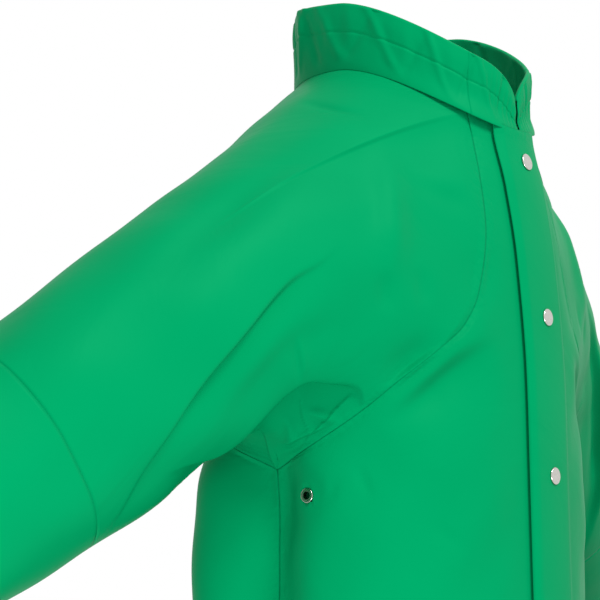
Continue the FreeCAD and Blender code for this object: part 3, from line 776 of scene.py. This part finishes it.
def pocket(side):
    """The flat bag inside the front and the slanting welt sewn over its mouth."""
    place, turned = SIDES[side]
    heights = np.linspace(POCKET_Z - BAG_TOP, POCKET_Z - POCKET_DEPTH - BAG_FOOT, 50)
    flat = body_grid(heights, -front_edge(heights, POCKET_OUT), -front_edge(heights, POCKET_IN), 40)
    bag = cloth_piece("pocket_bag_cloth_" + side, place(flat), lining, skin, flip=turned, depth=BAG_IN)
    follow(bag, side, "front", "pocket_bag_" + side)
    heights = np.linspace(POCKET_Z, POCKET_Z - POCKET_DEPTH, 60)
    slant = np.linspace(WELT_TOP, WELT_FOOT, 60)
    mouth = body_grid(heights, -front_edge(heights, slant + WELT_WIDTH), -front_edge(heights, slant), 14)
    welt = cloth_piece("pocket_welt_cloth_" + side, place(mouth), skin, skin, flip=turned,
                       depth=-WELT_OUT, sewn=("first_column", "first_row", "last_row"))
    follow(welt, side, "front", "pocket_welt_" + side)


def collar(side):
    """Half the collar, folded at its rim, with the row of stitches that closes the casing."""
    place, turned = SIDES[side]
    strip = cloth_piece("collar_cloth_" + side, place(collar_grid()), skin, skin, flip=not turned,
                        folds=0)
    shown = ("collar_outer", "collar_casing") if side == "right" else ("collar_facing",)
    follow(strip, side, "collar", *shown)
    line, away = casing_line()
    follow(stitches("casing_stitches_" + side, place(line), place(away)), side, "collar")


def back():
    """The back panel and its hem band."""
    panel = cloth_piece("back_panel_cloth", back_panel_grid(), skin, lining, flip=True,
                        sewn=("first_column", "last_column", "first_row"))
    follow(panel, "", "root", "back_panel")
    foot = body_grid(HEM_HEIGHTS, SIDE_ANGLE + 1, 359 - SIDE_ANGLE, 0, side_graded(BACK_HEM_COLUMNS))
    band = cloth_piece("hem_band_back_cloth", foot, lining, skin, flip=True, depth=HEM_IN)
    follow(band, "", "root", "hem_band_back")


def seam_tapes(side):
    """Tapes over the seams inside: beside both raglan seams and across the side seam."""
    place, turned = SIDES[side]
    z = np.linspace(ARMPIT_Z + 14, FRONT_NECK_Z - 25, 90)
    ahead = body_grid(z, profile(FRONT_SEAM, z) - TAPE_GAP, profile(FRONT_SEAM, z) - TAPE_FAR, 8)
    z = np.linspace(ARMPIT_Z + 14, -30, 90)
    behind = body_grid(z, profile(BACK_SEAM, z) + TAPE_FAR, profile(BACK_SEAM, z) + TAPE_GAP, 8)
    z = np.concatenate([[HEM_Z + HEM_DEPTH + 4], np.linspace(HEM_Z + HEM_DEPTH, -460, 60)[1:],
                        np.linspace(-455, ARMPIT_Z - 6, 26)])
    beneath = body_grid(z, SIDE_ANGLE + TAPE_HALF, SIDE_ANGLE - TAPE_HALF, 12)
    nodes = {"raglan_tape_front_right": ("raglan_seam_tapes",), "side_seam_tape_right": ("side_seam_tapes",)}
    for name, grid, way in (("raglan_tape_front_", ahead, "front"), ("raglan_tape_back_", behind, "root"),
                            ("side_seam_tape_", beneath, "root")):
        strip = cloth_piece(name + side, place(grid), tape, tape, flip=not turned, depth=TAPE_IN,
                            thickness=0.4)
        follow(strip, side, way, *nodes.get(name + side, ()))


def neck_tape():
    """Tape inside the foot of the collar, round the back of the neck."""
    angle, share = np.meshgrid(np.linspace(95, 265, 160), np.linspace(0.04, 0.2, 8))
    height = share * np.where(angle > 180, collar_height(360 - angle), collar_height(angle))
    inside = collar_line(angle, height, np.full_like(angle, -4.2))
    strip = cloth_piece("neck_tape_cloth", inside, tape, tape, folds=0, flip=True, thickness=0.5)
    follow(strip, "", "root", "neck_tape")


def hang_loop():
    """The hang loop's tape, an arch that stands behind the neck, seen from outside the arch."""
    t, across = np.meshgrid(np.linspace(0, pi, 70), np.linspace(-LOOP_TAPE_HALF, LOOP_TAPE_HALF, 8))
    foot = 1.5 * (1 - np.sin(t)) ** 3
    arch = points(LOOP_HALF * np.cos(t), across + foot, LOOP_HEIGHT * (np.sin(t) - 1) + 1.2) - FROM_LOOP
    loop = cloth_piece("hang_loop_tape", arch, tape, tape, folds=0, thickness=1.0)
    follow(loop, "", "root", "hang_loop")


for side in SIDES:
    sleeve(side)
    front(side)
    pocket(side)
    collar(side)
back()
for side in SIDES:
    seam_tapes(side)
neck_tape()
hang_loop()
for node in ("underarm_eyelets", "eyelet_washers", "snap_caps", "snap_sockets", "snap_studs", "snap_posts"):
    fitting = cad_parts[node]
    fitting.data.materials.clear()
    fitting.data.materials.append(nickel)


# ---- light and camera --------------------------------------------------------------------------------
def camera():
    """A long lens at the wearer's front right, a little below the collar and looking up."""
    azimuth, elevation, distance = radians(-55.0), radians(-7.0), 2500.0
    back = np.array((sin(azimuth) * cos(elevation), -cos(azimuth) * cos(elevation), sin(elevation)))
    right = np.array((cos(azimuth), sin(azimuth), 0.0))
    up = np.cross(back, right)
    aim = right * -84.0 + up * -180.0 + back * 130.0 + FROM_LOOP
    data = bpy.data.cameras.new("camera")
    data.sensor_width, data.lens = 36.0, 18.0 / (300 * 0.8 / distance)
    data.clip_end = 100.0
    obj = bpy.data.objects.new("camera", data)
    obj.location = Vector((aim + back * distance) * MM)
    obj.rotation_euler = Vector(back).to_track_quat("Z", "Y").to_euler()
    bpy.context.scene.collection.objects.link(obj)
    bpy.context.scene.camera = obj


def area_light(name, place, target, size, power):
    data = bpy.data.lights.new(name, "AREA")
    data.shape, data.size, data.energy = "DISK", size, power
    obj = bpy.data.objects.new(name, data)
    obj.location = Vector(place)
    obj.rotation_euler = (Vector(place) - Vector(target)).to_track_quat("Z", "Y").to_euler()
    bpy.context.scene.collection.objects.link(obj)


camera()
area_light("key", (-0.6, -2.6, 2.6), (-0.1, 0, -0.3), 1.4, 182)
area_light("fill", (-1.0, -0.55, -1.05), (-0.15, -0.05, -0.42), 0.6, 12)
world = bpy.data.worlds.new("studio")
world.use_nodes = True
world.node_tree.nodes["Background"].inputs["Color"].default_value = (1, 1, 1, 1)
world.node_tree.nodes["Background"].inputs["Strength"].default_value = 1.0
bpy.context.scene.world = world
bpy.context.scene.view_settings.view_transform = "Standard"
